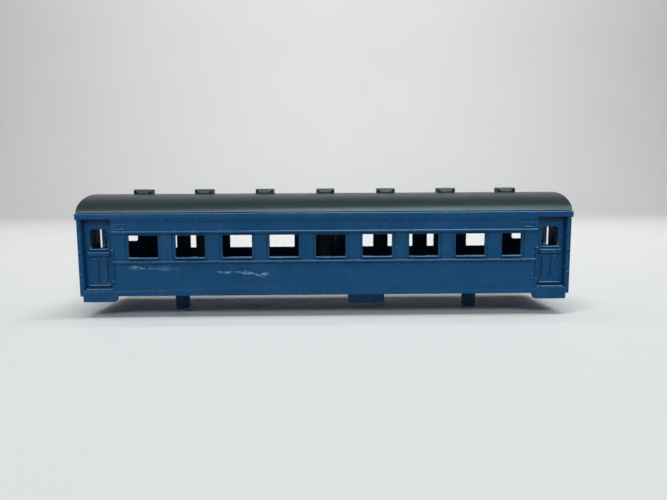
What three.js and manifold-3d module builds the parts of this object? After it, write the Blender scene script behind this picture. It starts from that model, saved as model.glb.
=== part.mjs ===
// Toy passenger coach body: a blue shell, a dark barrel roof with seven ventilators, and a floor
// with two bogie pivots, held together by three screws from below.
// Millimetres. X runs along the coach, -Y is the near side, +Z is up, Z = 0 is under the pivots.

import * as THREE from 'three';
import { mergeVertices } from 'three/addons/utils/BufferGeometryUtils.js';
import { ConvexGeometry } from 'three/addons/geometries/ConvexGeometry.js';
import Module from 'manifold-3d';

const wasm = await Module();
wasm.setup();

// Driving dimensions
const LENGTH = 163;
const WIDTH = 33.4;
const SIDE_HEIGHT = 27.5;
const PIVOT_DROP = 7.3;
const ROOF_RISE = 6.3;
const WALL = 1.2;

// Levels
const SOLE = PIVOT_DROP;
const EAVE = SOLE + SIDE_HEIGHT;
const CREST = EAVE + ROOF_RISE;
const HALF_LENGTH = LENGTH / 2;
const HALF_WIDTH = WIDTH / 2;

// Bands along the side: how far the top and bottom lie under the eave, and how far each stands out
const GUTTER = { top: 0, bottom: 2.05, proud: 0.35 };
const FRIEZE = { top: 2.05, bottom: 2.7, proud: 0.15 };
const HEADER = { top: 5.75, bottom: 6.9, proud: 0.3 };
const BELT = { top: 15.6, bottom: 16.7, proud: 0.3 };

// Windows: eight equal ones and a narrow last one, a little wider on the far side than on the near
const WINDOW_COUNT = 9;
const WINDOW_PITCH = 15.45;
const WINDOW_WIDTH = 9.75;
const LAST_WINDOW_WIDTH = { near: 6.4, far: 6.9 };
const WINDOW_TOP = 7.35;
const WINDOW_SILL = 14.6;
const FRAME_MARGIN = 0.9;
const FRAME_DEPTH = 0.3;
const SILL_LIP = { height: 0.6, proud: 0.15 };

// Doors: measured from the end of the coach, and down from the eave
const DOOR_OUTER = 1.5;
const DOOR_INNER = 11;
const DOOR_DEPTH = 2;
const DOOR_LEAF = 1;
const DOOR_CENTRE = 6.15;
const DOOR_WINDOW = { width: 5.5, top: 5.3, bottom: 11.7, corner: 0.7 };
const DOOR_LIP = { width: 6.1, top: 11.75, bottom: 12.25, proud: 0.25 };
const DOOR_RAIL = { width: 7.4, top: 12.7, bottom: 14.45, proud: 0.35 };
const DOOR_KICK = { width: 7.1, top: 23.7, bottom: 24.6, proud: 0.45 };
const PANEL_GROOVE = { spacing: 3.1, inwards: 1.2, width: 0.4, top: 15.7, bottom: 23.2, depth: 0.25 };
const DOOR_STUD = { spacing: 3.2, width: 0.8, top: 15.1, bottom: 15.7, proud: 0.3 };
const THRESHOLD = { outer: 2.1, inner: 11.1, top: 24.9, bottom: 25.6, proud: 0.25 };

// Steps under the doors, and the fittings beside them
const STEP = { outer: 1.05, innerTop: 12.4, innerBottom: 11.9, bottom: 29.4, corner: 0.7 };
const GRAB_RAIL = { outer: 11.1, width: 0.7, top: 12.2, bottom: 23, proud: 0.45 };
const GRAB_STUD = { width: 1, height: 0.9, proud: 0.55 };
const POST_STUD = { outer: 0.3, width: 0.8, height: 0.6, proud: 0.3, levels: [12.6, 20.4] };
const BOARD_HOOK = { outer: 13, width: 2.7, top: 3.6, bottom: 5.4, bar: 0.4, proud: 0.3 };

// Ends
const GANGWAY = { width: 9.6, top: 3.2, recess: 0.2, leaf: 1.1 };
const GANGWAY_WINDOW = { width: 3.6, top: 5.6, bottom: 12.9, corner: 0.7 };
const GANGWAY_FRAME = { width: 1, proud: 0.35 };
const GANGWAY_RAIL = { top: 14.4, bottom: 15.4, proud: 0.3 };

// Roof
const ROOF_INSET = 0.15;
const ROOF_OVERHANG = 0.1;
const ROOF_SKIN = 1.2;
const ROOF_FULLNESS = 1.07;
const ROOF_SEGMENTS = 24;
const RIB = { length: 132, thickness: 0.9, drop: 1.8, gap: 0.3 };
const POST_RADIUS = 3.75;
const POST_PITCH = 42.9;
const POST_HOLE = { radius: 1.2, depth: 9 };
const ROUND = 16;

// Ventilators
const VENT_COUNT = 7;
const VENT_PITCH = 21.5;
const VENT = { length: 6.4, depth: 3.6, height: 1.6, base: 0.35, plate: 0.45, corner: 0.5 };
const VENT_WEDGE = { topDepth: 2.4, bottomLength: 2.6 };
const VENT_CAP = 0.3;
const VENT_WEB = 0.6;
const VENT_PEG = { radius: 0.6, length: 1, clearance: 0.3 };

// Floor
const FLOOR = { thickness: 2.2, rise: 0.4, gap: 0.3 };
const PIVOT_X = 52.3;
const PIVOT_RADIUS = 2.5;
const PIVOT_HOLE = { radius: 1.1, depth: 7 };
const BOX = { x: 14.1, length: 12.6, depth: 6, front: 8.3, bottom: 32.2, wall: 0.9 };
const BOX_LIP = { height: 0.5, proud: 0.3 };
const LUG = { length: 3, depth: 0.9, height: 1.6, count: 4 };

// Screws
const SCREW = { headRadius: 2.2, headHeight: 1.3, shankRadius: 0.95, length: 8.5 };
const SCREW_SINK = { radius: 2.6, depth: 1.1 };
const SCREW_CROSS = { length: 2.4, width: 0.6, depth: 0.7 };

const FLOOR_BOTTOM = SOLE + FLOOR.rise;
const FLOOR_TOP = FLOOR_BOTTOM + FLOOR.thickness;
const POCKET_INNER = DOOR_INNER + WALL;
const POCKET_DEPTH = DOOR_DEPTH + DOOR_LEAF;

// Solids

function solidOf(geometry) {
  const bare = geometry.clone();
  bare.deleteAttribute('normal');
  bare.deleteAttribute('uv');
  const merged = mergeVertices(bare, 1e-4);
  const triangles = merged.index.array;
  return new wasm.Manifold(new wasm.Mesh({
    numProp: 3,
    vertProperties: new Float32Array(merged.attributes.position.array),
    triVerts: new Uint32Array(triangles),
  }));
}

function meshOf(name, solid, material) {
  const { vertProperties, triVerts } = solid.getMesh();
  const geometry = new THREE.BufferGeometry();
  geometry.setAttribute('position', new THREE.BufferAttribute(vertProperties, 3));
  geometry.setIndex(new THREE.BufferAttribute(triVerts, 1));
  const mesh = new THREE.Mesh(geometry, material.clone());
  mesh.name = name;
  return mesh;
}

function block([x0, x1], [y0, y1], [z0, z1]) {
  const geometry = new THREE.BoxGeometry(x1 - x0, y1 - y0, z1 - z0);
  geometry.translate((x0 + x1) / 2, (y0 + y1) / 2, (z0 + z1) / 2);
  return solidOf(geometry);
}

function upright(radius, x, y, [z0, z1]) {
  const geometry = new THREE.CylinderGeometry(radius, radius, z1 - z0, ROUND);
  geometry.rotateX(Math.PI / 2);
  geometry.translate(x, y, (z0 + z1) / 2);
  return solidOf(geometry);
}

// A flat outline in X and Z, given thickness from y0 to y1
function plateXZ(shape, [y0, y1]) {
  const geometry = new THREE.ExtrudeGeometry(shape, {
    depth: y1 - y0,
    bevelEnabled: false,
    curveSegments: 3,
  });
  geometry.rotateX(Math.PI / 2);
  geometry.translate(0, y1, 0);
  return solidOf(geometry);
}

// An outline through the corners given, each rounded by the same radius
function roundedOutline(corners, radius) {
  const shape = new THREE.Shape();
  corners.forEach((corner, i) => {
    const before = corners[(i + corners.length - 1) % corners.length];
    const after = corners[(i + 1) % corners.length];
    const start = corner.clone().add(before.clone().sub(corner).setLength(radius));
    const end = corner.clone().add(after.clone().sub(corner).setLength(radius));
    if (i === 0) {
      shape.moveTo(start.x, start.y);
    } else {
      shape.lineTo(start.x, start.y);
    }
    shape.quadraticCurveTo(corner.x, corner.y, end.x, end.y);
  });
  shape.closePath();
  return shape;
}

function roundedBox([x0, x1], [z0, z1], radius) {
  const corners = [[x0, z0], [x1, z0], [x1, z1], [x0, z1]].map(([x, z]) => new THREE.Vector2(x, z));
  return roundedOutline(corners, radius);
}

function joined(solids) {
  return solids.reduce((sum, solid) => sum.add(solid));
}

function below(band) {
  return [EAVE - band.bottom, EAVE - band.top];
}

function about(centre, width) {
  return [centre - width / 2, centre + width / 2];
}

// A range of X measured inwards from one end: end is -1 on the left and 1 on the right
function fromEnd(end, outer, inner) {
  const range = [end * (HALF_LENGTH - outer), end * (HALF_LENGTH - inner)];
  return range.sort((a, b) => a - b);
}

// A range of Y on the near side, from proud of the wall's face to behind it
function nearFace(proud, depth) {
  return [-HALF_WIDTH - proud, -HALF_WIDTH + depth];
}

// Near side of the shell

function sideBands() {
  const ends = HALF_LENGTH + GUTTER.proud;
  const between = HALF_LENGTH - DOOR_INNER - 0.2;
  const gutter = block([-ends, ends], nearFace(GUTTER.proud, WALL), below(GUTTER));
  const frieze = block([-between, between], nearFace(FRIEZE.proud, WALL), below(FRIEZE));
  const header = block([-between, between], nearFace(HEADER.proud, WALL), below(HEADER));
  const belt = block([-between, between], nearFace(BELT.proud, WALL), below(BELT));
  return [gutter, frieze, header, belt];
}

// The row is centred on the side, and the last window's width leaves its outer edge where it is
function windowRanges(lastWidth) {
  const rowEnd = ((WINDOW_COUNT - 1) * WINDOW_PITCH + LAST_WINDOW_WIDTH.near) / 2;
  const equal = Array.from({ length: WINDOW_COUNT - 1 }, (_, i) => {
    const left = -rowEnd + i * WINDOW_PITCH;
    return [left, left + WINDOW_WIDTH];
  });
  return [...equal, [rowEnd - lastWidth, rowEnd]];
}

function windowCuts(lastWidth) {
  const glass = [EAVE - WINDOW_SILL, EAVE - WINDOW_TOP];
  const frame = [EAVE - BELT.top, EAVE - HEADER.bottom];
  return windowRanges(lastWidth).flatMap(([left, right]) => [
    block([left, right], nearFace(1, WALL + 1), glass),
    block([left - FRAME_MARGIN, right + FRAME_MARGIN], nearFace(0.1, FRAME_DEPTH), frame),
  ]);
}

function windowSills(lastWidth) {
  const lip = [EAVE - WINDOW_SILL - SILL_LIP.height, EAVE - WINDOW_SILL];
  return windowRanges(lastWidth).map((range) => block(range, nearFace(SILL_LIP.proud, WALL), lip));
}

function doorCuts(end) {
  const centre = end * (HALF_LENGTH - DOOR_CENTRE);
  const recess = block(
    fromEnd(end, DOOR_OUTER, DOOR_INNER),
    nearFace(1, DOOR_DEPTH),
    [EAVE - THRESHOLD.bottom, EAVE - GUTTER.bottom],
  );
  const opening = roundedBox(about(centre, DOOR_WINDOW.width), below(DOOR_WINDOW), DOOR_WINDOW.corner);
  const grooveCentre = centre - end * PANEL_GROOVE.inwards;
  const grooves = [-0.5, 0.5].map((place) => block(
    about(grooveCentre + place * PANEL_GROOVE.spacing, PANEL_GROOVE.width),
    nearFace(-1, DOOR_DEPTH + PANEL_GROOVE.depth),
    below(PANEL_GROOVE),
  ));
  return [recess, plateXZ(opening, nearFace(1, POCKET_DEPTH + 1)), ...grooves];
}

function doorTrim(end) {
  const centre = end * (HALF_LENGTH - DOOR_CENTRE);
  const onLeaf = (proud) => nearFace(proud - DOOR_DEPTH, POCKET_DEPTH);
  const bars = [DOOR_LIP, DOOR_RAIL, DOOR_KICK].map(
    (bar) => block(about(centre, bar.width), onLeaf(bar.proud), below(bar)),
  );
  const studs = [-0.5, 0.5].map((place) => block(
    about(centre + place * DOOR_STUD.spacing, DOOR_STUD.width),
    onLeaf(DOOR_STUD.proud),
    below(DOOR_STUD),
  ));
  const threshold = block(
    fromEnd(end, THRESHOLD.outer, THRESHOLD.inner),
    nearFace(THRESHOLD.proud, POCKET_DEPTH),
    below(THRESHOLD),
  );
  return [...bars, ...studs, threshold];
}

function doorPocket(end) {
  return block(
    fromEnd(end, WALL, POCKET_INNER),
    nearFace(-WALL / 2, POCKET_DEPTH),
    [EAVE - STEP.bottom + 2, EAVE],
  );
}

function step(end) {
  const top = EAVE - THRESHOLD.bottom - 0.5;
  const bottom = EAVE - STEP.bottom;
  const corners = [
    [STEP.outer, top],
    [STEP.outer, bottom],
    [STEP.innerBottom, bottom],
    [STEP.innerTop, SOLE],
    [STEP.innerTop, top],
  ].map(([inwards, z]) => new THREE.Vector2(end * (HALF_LENGTH - inwards), z));
  const ordered = end < 0 ? corners : corners.reverse();
  return plateXZ(roundedOutline(ordered, STEP.corner), nearFace(0, WALL));
}

function sideFittings(end) {
  const raised = (proud) => nearFace(proud, WALL / 2);
  const railRange = fromEnd(end, GRAB_RAIL.outer, GRAB_RAIL.outer + GRAB_RAIL.width);
  const railCentre = (railRange[0] + railRange[1]) / 2;
  const rail = block(railRange, raised(GRAB_RAIL.proud), below(GRAB_RAIL));
  const stud = block(
    about(railCentre, GRAB_STUD.width),
    raised(GRAB_STUD.proud),
    about(EAVE - GRAB_RAIL.top, GRAB_STUD.height),
  );
  const postStuds = POST_STUD.levels.map((level) => block(
    fromEnd(end, POST_STUD.outer, POST_STUD.outer + POST_STUD.width),
    raised(POST_STUD.proud),
    about(EAVE - level, POST_STUD.height),
  ));
  const [hookLeft, hookRight] = fromEnd(end, BOARD_HOOK.outer, BOARD_HOOK.outer + BOARD_HOOK.width);
  const hookBottom = EAVE - BOARD_HOOK.bottom;
  const hook = [
    block([hookLeft, hookRight], raised(BOARD_HOOK.proud), [hookBottom, hookBottom + BOARD_HOOK.bar]),
    block([hookLeft, hookLeft + BOARD_HOOK.bar], raised(BOARD_HOOK.proud), below(BOARD_HOOK)),
    block([hookRight - BOARD_HOOK.bar, hookRight], raised(BOARD_HOOK.proud), below(BOARD_HOOK)),
  ];
  return [rail, stud, ...postStuds, ...hook];
}

// Lugs inside the near wall that bear on the floor's upper face
function floorLugs() {
  const spacing = (2 * (HALF_LENGTH - POCKET_INNER)) / LUG.count;
  return Array.from({ length: LUG.count }, (_, i) => block(
    about((i - (LUG.count - 1) / 2) * spacing, LUG.length),
    nearFace(-WALL / 2, WALL + LUG.depth),
    [FLOOR_TOP, FLOOR_TOP + LUG.height],
  ));
}

// One side with both its doors, built on the near side: pieces to add, then cuts, then trim to add
function side(lastWidth) {
  const ends = [-1, 1];
  return {
    pockets: ends.map(doorPocket),
    bands: [...sideBands(), ...ends.map(step)],
    cuts: [...windowCuts(lastWidth), ...ends.flatMap(doorCuts)],
    trim: [
      ...windowSills(lastWidth),
      ...ends.flatMap(doorTrim),
      ...ends.flatMap(sideFittings),
      ...floorLugs(),
    ],
  };
}

function turned(solid) {
  return solid.rotate([0, 0, 180]);
}

function withTurned(solids) {
  return joined([...solids, ...solids.map(turned)]);
}

// The end wall on the right: a gangway door set into a raised frame
function gangwayParts() {
  const face = HALF_LENGTH;
  const half = GANGWAY.width / 2;
  const height = [SOLE, EAVE - GANGWAY.top];
  const frameHalf = half + GANGWAY_FRAME.width;
  const frame = block(
    [face - WALL, face + GANGWAY_FRAME.proud],
    [-frameHalf, frameHalf],
    [SOLE, height[1] + GANGWAY_FRAME.width],
  );
  const recess = block([face - GANGWAY.recess, face + 1], [-half, half], [SOLE - 1, height[1]]);
  const leafInner = face - GANGWAY.recess - GANGWAY.leaf;
  const leaf = block([leafInner, face - GANGWAY.recess], [-half - 1, half + 1], [SOLE, EAVE - 1]);
  const rail = block(
    [leafInner, face - GANGWAY.recess + GANGWAY_RAIL.proud],
    [-half, half],
    below(GANGWAY_RAIL),
  );
  const outline = roundedBox(about(0, GANGWAY_WINDOW.width), below(GANGWAY_WINDOW), GANGWAY_WINDOW.corner);
  const opening = plateXZ(outline, [-face - 1, -leafInner + 1]).rotate([0, 0, 90]);
  return { frame, recess, leaf, rail, opening };
}

function bodyShell() {
  const outside = block([-HALF_LENGTH, HALF_LENGTH], [-HALF_WIDTH, HALF_WIDTH], [SOLE, EAVE]);
  const inside = block(
    [-HALF_LENGTH + WALL, HALF_LENGTH - WALL],
    [-HALF_WIDTH + WALL, HALF_WIDTH - WALL],
    [SOLE - 1, EAVE + 1],
  );
  const near = side(LAST_WINDOW_WIDTH.near);
  const far = side(LAST_WINDOW_WIDTH.far);
  const bothSides = (part) => joined([...near[part], ...far[part].map(turned)]);
  const gangway = gangwayParts();
  const gutterEnd = block(
    [HALF_LENGTH - WALL, HALF_LENGTH + GUTTER.proud],
    [-HALF_WIDTH, HALF_WIDTH],
    below(GUTTER),
  );
  return outside
    .subtract(inside)
    .add(bothSides('pockets'))
    .add(bothSides('bands'))
    .add(withTurned([gutterEnd, gangway.frame]))
    .subtract(bothSides('cuts'))
    .subtract(withTurned([gangway.recess]))
    .add(bothSides('trim'))
    .add(withTurned([gangway.leaf, gangway.rail]))
    .subtract(withTurned([gangway.opening]));
}

// Roof

// The barrel's section, a flattened half ellipse standing on the level base
function roofSection(halfWidth, rise, base) {
  const shape = new THREE.Shape();
  shape.moveTo(-halfWidth, base);
  for (let i = 1; i < ROOF_SEGMENTS; i += 1) {
    const angle = Math.PI * (1 - i / ROOF_SEGMENTS);
    shape.lineTo(halfWidth * Math.cos(angle), base + rise * Math.sin(angle) ** ROOF_FULLNESS);
  }
  shape.lineTo(halfWidth, base);
  shape.closePath();
  return shape;
}

function barrel(halfLength, halfWidth, rise, base) {
  const section = roofSection(halfWidth, rise, base);
  const solid = plateXZ(section, [-halfLength, halfLength]);
  return solid.rotate([0, 0, 90]);
}

function ventilatorPlaces() {
  return Array.from({ length: VENT_COUNT }, (_, i) => (i - (VENT_COUNT - 1) / 2) * VENT_PITCH);
}

const postPlaces = [-POST_PITCH, 0, POST_PITCH];

function roof() {
  const halfLength = HALF_LENGTH + ROOF_OVERHANG;
  const halfWidth = HALF_WIDTH - ROOF_INSET;
  const outside = barrel(halfLength, halfWidth, ROOF_RISE, EAVE);
  const inside = barrel(halfLength - ROOF_SKIN, halfWidth - ROOF_SKIN, ROOF_RISE - ROOF_SKIN, EAVE);
  const undercut = block(
    [-halfLength + ROOF_SKIN, halfLength - ROOF_SKIN],
    [-halfWidth + ROOF_SKIN, halfWidth - ROOF_SKIN],
    [EAVE - 1, EAVE],
  );
  const ribOuter = HALF_WIDTH - WALL - RIB.gap;
  const ribs = [-1, 1].map((side) => block(
    about(0, RIB.length),
    about(side * (ribOuter - RIB.thickness / 2), RIB.thickness),
    [EAVE - RIB.drop, EAVE + 1.5],
  ));
  const posts = postPlaces.map((x) => upright(POST_RADIUS, x, 0, [FLOOR_TOP, CREST - ROOF_SKIN]));
  const bores = postPlaces.map(
    (x) => upright(POST_HOLE.radius, x, 0, [FLOOR_TOP - 1, FLOOR_TOP + POST_HOLE.depth]),
  );
  const pegHoles = ventilatorPlaces().map((x) => upright(
    VENT_PEG.radius + VENT_PEG.clearance,
    x,
    0,
    [CREST - VENT_PEG.length - VENT_PEG.clearance, CREST + 1],
  ));
  return outside
    .subtract(inside.add(undercut))
    .add(joined([...ribs, ...posts]))
    .subtract(joined([...bores, ...pegHoles]));
}

// A hooded ventilator: end plates and a flat cap over a wedge that spreads to the sides, with a web
// along the middle that closes the hollows between them
function ventilator() {
  const half = VENT.length / 2;
  const top = VENT.height;
  const base = block(about(0, VENT.length), about(0, VENT.depth), [0, VENT.base]);
  const plateOutline = roundedBox(about(0, VENT.depth), [0, top], VENT.corner);
  const plates = [-half, half - VENT.plate].map(
    (x) => plateXZ(plateOutline, [-x - VENT.plate, -x]).rotate([0, 0, 90]),
  );
  const cap = block(about(0, VENT.length), about(0, VENT_WEDGE.topDepth), [top - VENT_CAP, top]);
  const web = block(about(0, VENT.length), about(0, VENT_WEB), [0, top]);
  const wedgeCorners = [];
  for (const along of [-0.5, 0.5]) {
    for (const across of [-0.5, 0.5]) {
      wedgeCorners.push(new THREE.Vector3(along * VENT.length, across * VENT_WEDGE.topDepth, top));
      wedgeCorners.push(new THREE.Vector3(along * VENT_WEDGE.bottomLength, across * VENT.depth, 0));
    }
  }
  const wedge = solidOf(new ConvexGeometry(wedgeCorners));
  const peg = upright(VENT_PEG.radius, 0, 0, [-VENT_PEG.length, VENT.base]);
  return joined([base, ...plates, cap, web, wedge, peg]);
}

// Floor

function floorPlate() {
  const halfLength = HALF_LENGTH - WALL - (GANGWAY.recess + GANGWAY.leaf - WALL) - FLOOR.gap;
  const halfWidth = HALF_WIDTH - WALL - FLOOR.gap;
  const between = HALF_LENGTH - POCKET_INNER - FLOOR.gap;
  const narrow = HALF_WIDTH - POCKET_DEPTH - FLOOR.gap;
  const height = [FLOOR_BOTTOM, FLOOR_TOP];
  const wide = block([-between, between], [-halfWidth, halfWidth], height);
  const full = block([-halfLength, halfLength], [-narrow, narrow], height);
  return wide.add(full);
}

function equipmentBox() {
  const range = about(BOX.x, BOX.length);
  const across = [-BOX.front, -BOX.front + BOX.depth];
  const bottom = EAVE - BOX.bottom;
  const outside = block(range, across, [bottom, FLOOR_BOTTOM + 0.5]);
  const lip = block(
    [range[0] - BOX_LIP.proud, range[1] + BOX_LIP.proud],
    [across[0] - BOX_LIP.proud, across[1] + BOX_LIP.proud],
    [bottom, bottom + BOX_LIP.height],
  );
  const hollow = block(
    [range[0] + BOX.wall, range[1] - BOX.wall],
    [across[0] + BOX.wall, across[1] - BOX.wall],
    [bottom - 1, FLOOR_BOTTOM],
  );
  return outside.add(lip).subtract(hollow);
}

function floorPan() {
  const pivots = [-PIVOT_X, PIVOT_X].map((x) => upright(PIVOT_RADIUS, x, 0, [0, FLOOR_BOTTOM + 0.5]));
  const pivotHoles = [-PIVOT_X, PIVOT_X].map(
    (x) => upright(PIVOT_HOLE.radius, x, 0, [-1, PIVOT_HOLE.depth]),
  );
  const screwHoles = postPlaces.flatMap((x) => [
    upright(POST_HOLE.radius, x, 0, [FLOOR_BOTTOM - 1, FLOOR_TOP + 1]),
    upright(SCREW_SINK.radius, x, 0, [FLOOR_BOTTOM - 1, FLOOR_BOTTOM + SCREW_SINK.depth]),
  ]);
  return floorPlate()
    .add(joined([...pivots, equipmentBox()]))
    .subtract(joined([...pivotHoles, ...screwHoles]));
}

// A pan-head screw standing point up, its head's seat at Z = 0
function screw() {
  const head = upright(SCREW.headRadius, 0, 0, [-SCREW.headHeight, 0]);
  const shank = upright(SCREW.shankRadius, 0, 0, [-0.5, SCREW.length]);
  const crossHeight = [-SCREW.headHeight - 1, -SCREW.headHeight + SCREW_CROSS.depth];
  const slot = block(about(0, SCREW_CROSS.length), about(0, SCREW_CROSS.width), crossHeight);
  return head.add(shank).subtract(slot.add(slot.rotate([0, 0, 90])));
}

// Materials
const blue = new THREE.MeshStandardMaterial({ color: 0x0c4476, roughness: 0.35, metalness: 0 });
const darkGrey = new THREE.MeshStandardMaterial({ color: 0x2d3234, roughness: 0.45, metalness: 0 });
const steel = new THREE.MeshStandardMaterial({ color: 0x9a9a98, roughness: 0.35, metalness: 1 });

// Assembly
const coach = new THREE.Group();
coach.add(meshOf('body_shell', bodyShell(), blue));
coach.add(meshOf('roof', roof(), darkGrey));
coach.add(meshOf('floor_pan', floorPan(), blue));

ventilatorPlaces().forEach((x, i) => {
  const mesh = meshOf(`ventilator_${i + 1}`, ventilator(), darkGrey);
  mesh.position.set(x, 0, CREST);
  coach.add(mesh);
});

postPlaces.forEach((x, i) => {
  const mesh = meshOf(`screw_${i + 1}`, screw(), steel);
  mesh.position.set(x, 0, FLOOR_BOTTOM + SCREW_SINK.depth);
  coach.add(mesh);
});

export default coach;
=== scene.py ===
"""Toy passenger coach body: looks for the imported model, in metres, in the model's own frame.
X runs along the coach, -Y is the near side, Z is up. Detail sizes are in millimetres, times MM."""

import math

import bmesh
import bpy
from mathutils import Matrix, Vector


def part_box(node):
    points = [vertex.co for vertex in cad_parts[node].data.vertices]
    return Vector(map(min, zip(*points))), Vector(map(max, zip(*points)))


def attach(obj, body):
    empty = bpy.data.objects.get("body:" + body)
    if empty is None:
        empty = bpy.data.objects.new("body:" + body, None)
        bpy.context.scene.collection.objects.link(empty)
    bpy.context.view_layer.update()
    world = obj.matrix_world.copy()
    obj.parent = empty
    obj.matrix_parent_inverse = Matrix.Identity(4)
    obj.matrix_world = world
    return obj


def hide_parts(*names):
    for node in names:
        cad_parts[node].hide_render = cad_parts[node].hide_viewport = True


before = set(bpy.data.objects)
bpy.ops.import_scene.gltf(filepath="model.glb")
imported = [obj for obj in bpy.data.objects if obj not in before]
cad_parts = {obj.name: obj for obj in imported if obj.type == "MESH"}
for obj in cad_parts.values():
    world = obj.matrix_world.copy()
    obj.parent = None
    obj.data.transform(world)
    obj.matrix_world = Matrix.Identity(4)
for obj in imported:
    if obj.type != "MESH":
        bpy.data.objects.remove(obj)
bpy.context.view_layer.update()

MM = 0.001

# Places read from the frame
SHELL_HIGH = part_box("body_shell")[1]
ROOF_LOW, ROOF_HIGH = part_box("roof")
FLOOR_LOW, FLOOR_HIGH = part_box("floor_pan")

GUTTER_PROUD = 0.35 * MM
EAVE = SHELL_HIGH.z
CREST = ROOF_HIGH.z
FLOOR_TOP = ROOF_LOW.z
HALF_LENGTH = SHELL_HIGH.x - GUTTER_PROUD
GRAB_STUD_PROUD = 0.55 * MM
HALF_WIDTH = SHELL_HIGH.y - GRAB_STUD_PROUD
WALL = 1.2 * MM

# The walls' lower edge, in millimetres below the eave, and its height
SOLE_DOWN = 27.5
SOLE = EAVE - SOLE_DOWN * MM

ENDS = (-1, 1)

# How finely curves are cut
CORNER_STEPS = 5
EDGE_STEPS = 4
ROUND = 48


# Mesh helpers

def new_object(name, mesh):
    """An object holding this mesh, in the scene."""
    obj = bpy.data.objects.new(name, mesh)
    bpy.context.scene.collection.objects.link(obj)
    return obj


def mesh_from(name, points, faces):
    """A mesh whose faces all point outwards."""
    mesh = bpy.data.meshes.new(name)
    mesh.from_pydata(points, [], faces)
    bm = bmesh.new()
    bm.from_mesh(mesh)
    bmesh.ops.recalc_face_normals(bm, faces=bm.faces)
    bm.to_mesh(mesh)
    bm.free()
    return mesh


def loft(rings):
    """Points and faces of a closed solid through rings of equal length, capped at both ends."""
    count = len(rings[0])
    points = [point for ring in rings for point in ring]
    faces = []
    for i in range(len(rings) - 1):
        for j in range(count):
            k = (j + 1) % count
            faces.append((i * count + j, i * count + k, (i + 1) * count + k, (i + 1) * count + j))
    faces.append(tuple(range(count)))
    faces.append(tuple(range((len(rings) - 1) * count, len(rings) * count)))
    return points, faces


def rounded_rectangle(low, high, radius):
    """Points of a rectangle with round corners, anticlockwise."""
    radius = min(radius, (high[0] - low[0]) * 0.49, (high[1] - low[1]) * 0.49)
    centres = (
        (high[0] - radius, high[1] - radius, 0),
        (low[0] + radius, high[1] - radius, 90),
        (low[0] + radius, low[1] + radius, 180),
        (high[0] - radius, low[1] + radius, 270),
    )
    points = []
    for u, v, start in centres:
        for step in range(CORNER_STEPS):
            angle = math.radians(start + 90 * step / (CORNER_STEPS - 1))
            points.append((u + radius * math.cos(angle), v + radius * math.sin(angle)))
    return points


def edge_profile(radius):
    """Pairs of inset and distance from the end, round the quarter circle of a rounded edge."""
    for step in range(EDGE_STEPS + 1):
        angle = math.radians(90 * step / EDGE_STEPS)
        yield radius * (1 - math.cos(angle)), radius * (1 - math.sin(angle))


def boss(x, z, y_front, y_back, edge, corner):
    """A solid standing on the near side, its front edges rounded. x and z are ranges."""
    rings = []
    for inset, back in reversed(list(edge_profile(edge))):
        low = (x[0] + inset, z[0] + inset)
        high = (x[1] - inset, z[1] - inset)
        outline = rounded_rectangle(low, high, max(corner - inset, 0.01 * MM))
        rings.append([(u, y_front + back, v) for u, v in outline])
    outline = rounded_rectangle((x[0], z[0]), (x[1], z[1]), corner)
    rings.append([(u, y_back, v) for u, v in outline])
    return loft(rings)


def pocket(x, z, y_face, y_back, edge, corner):
    """A cutter that leaves a rounded edge where it enters the face. x and z are ranges."""
    rings = []
    over = 0.5 * MM
    for step in range(EDGE_STEPS + 1):
        depth = edge * step / EDGE_STEPS
        out = edge - math.sqrt(max(edge * edge - (edge - depth) ** 2, 0))
        low = (x[0] - out, z[0] - out)
        high = (x[1] + out, z[1] + out)
        outline = rounded_rectangle(low, high, corner + out)
        if step == 0:
            rings.append([(u, y_face - over, v) for u, v in outline])
        rings.append([(u, y_face + depth, v) for u, v in outline])
    outline = rounded_rectangle((x[0], z[0]), (x[1], z[1]), corner)
    rings.append([(u, y_back, v) for u, v in outline])
    return loft(rings)


def slab(x, y, z, edge, corner):
    """A block whose upright corners and lower and upper edges are rounded. x, y and z are ranges."""
    rings = []
    profile = list(edge_profile(edge))
    for inset, rise in reversed(profile):
        rings.append((inset, z[0] + rise))
    for inset, rise in profile:
        rings.append((inset, z[1] - rise))
    solid = []
    for inset, level in rings:
        low = (x[0] + inset, y[0] + inset)
        high = (x[1] - inset, y[1] - inset)
        outline = rounded_rectangle(low, high, max(corner - inset, 0.01 * MM))
        solid.append([(u, v, level) for u, v in outline])
    return loft(solid)


def lathe(x, y, profile):
    """A round solid on an upright axis at x, y, through pairs of radius and height."""
    rings = []
    for radius, level in profile:
        ring = []
        for i in range(ROUND):
            angle = math.tau * i / ROUND
            ring.append((x + radius * math.cos(angle), y + radius * math.sin(angle), level))
        rings.append(ring)
    return loft(rings)


def peg(x, y, radius, low, high, edge):
    """An upright round peg with rounded ends."""
    profile = []
    for inset, rise in reversed(list(edge_profile(edge))):
        profile.append((radius - inset, low + rise))
    for inset, rise in edge_profile(edge):
        profile.append((radius - inset, high - rise))
    return lathe(x, y, profile)


def upright_pegs(places, radius, low, high, edge):
    """Equal pegs at these X on the coach's middle line. The edge is in millimetres."""
    return [peg(x, 0, radius, low, high, edge * MM) for x in places]


def turned(solid):
    """The same solid turned half round about the upright axis."""
    points, faces = solid
    return [(-x, -y, z) for x, y, z in points], faces


def swung(solid, angle):
    """The same solid turned about the upright axis by an angle in degrees."""
    points, faces = solid
    turn = Matrix.Rotation(math.radians(angle), 3, "Z")
    return [tuple(turn @ Vector(p)) for p in points], faces


def both_sides(solids):
    """The solids, and the same turned half round for the other side."""
    return [*solids, *(turned(s) for s in solids)]


def merged(name, solids):
    """One object holding solids that don't touch each other."""
    points, faces = [], []
    for more_points, more_faces in solids:
        start = len(points)
        points.extend(more_points)
        faces.extend(tuple(start + i for i in face) for face in more_faces)
    return new_object(name, mesh_from(name, points, faces))


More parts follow.
